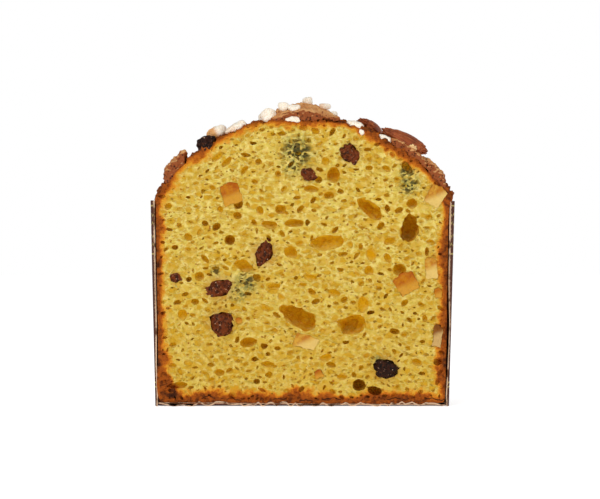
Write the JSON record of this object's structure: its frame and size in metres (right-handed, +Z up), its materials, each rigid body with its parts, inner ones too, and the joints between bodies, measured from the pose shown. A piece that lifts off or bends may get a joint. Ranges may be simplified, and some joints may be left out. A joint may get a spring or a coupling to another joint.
{
  "type": "cut panettone",
  "caption": "Tall domed sweet loaf in a dark fluted paper mould, cut upright to show a yellow open crumb with raisins and candied peel; crown topped with glaze, almonds and sugar.",
  "frame": {"origin": "on the face the loaf rests on, at the axis of the round mould, which lies 13 mm behind the cut", "axes": "+Z up, the flat cut face looks along -Y, and +X is to the right as one looks at the cut"},
  "size_m": [0.142, 0.0852, 0.1427],
  "materials": {
    "crumb": "open, springy yellow crumb inside a brown baked crust, matte",
    "paper_wall": "dark brown fluted baking paper with a small plain gold pattern, satin",
    "paper_base": "dark brown baking paper, satin",
    "glaze": "cracked baked almond glaze, tan and smooth on top, dark and porous where broken",
    "almond": "toasted almond in its skin, ridged, satin",
    "sugar": "white pearl sugar, rough and slightly see-through",
    "raisin": "dark wrinkled raisin, sticky and satin",
    "peel_orange": "candied orange peel, moist and translucent",
    "peel_pale": "candied citron peel, pale, moist and translucent"
  },
  "bodies": {
    "root": {"almond_back": "almond", "almond_back_left": "almond", "almond_back_right": "almond", "almond_crown_back": "almond", "almond_far_back": "almond", "almond_left_crown": "almond", "almond_right_inner": "almond", "almond_right_outer": "almond", "glaze_back": "glaze", "glaze_back_left": "glaze", "glaze_back_right": "glaze", "glaze_centre": "glaze", "glaze_left_crown": "glaze", "glaze_left_shoulder": "glaze", "glaze_right_shoulder": "glaze", "glaze_right_slope": "glaze", "loaf": "crumb", "paper_base": "paper_base", "paper_wall": "paper_wall", "peel_bottom": "peel_orange", "peel_far_right": "peel_orange", "peel_left_lower": "peel_orange", "peel_lower_middle": "peel_pale", "peel_lower_right_edge": "peel_pale", "peel_right": "peel_orange", "peel_right_edge": "peel_pale", "peel_right_shoulder": "peel_pale", "peel_upper_left": "peel_orange", "raisin_far_left": "raisin", "raisin_left_lower": "raisin", "raisin_left_upper": "raisin", "raisin_lower_right": "raisin", "raisin_middle": "raisin", "raisin_on_crust": "raisin", "raisin_upper_middle": "raisin", "raisin_upper_right": "raisin", "sugar_01": "sugar", "sugar_02": "sugar", "sugar_03": "sugar", "sugar_04": "sugar", "sugar_05": "sugar", "sugar_06": "sugar", "sugar_07": "sugar", "sugar_08": "sugar", "sugar_09": "sugar", "sugar_10": "sugar", "sugar_11": "sugar", "sugar_12": "sugar", "sugar_13": "sugar", "sugar_14": "sugar", "sugar_15": "sugar", "sugar_16": "sugar", "sugar_17": "sugar", "sugar_18": "sugar", "sugar_19": "sugar", "sugar_20": "sugar"}
  },
  "joints": []
}
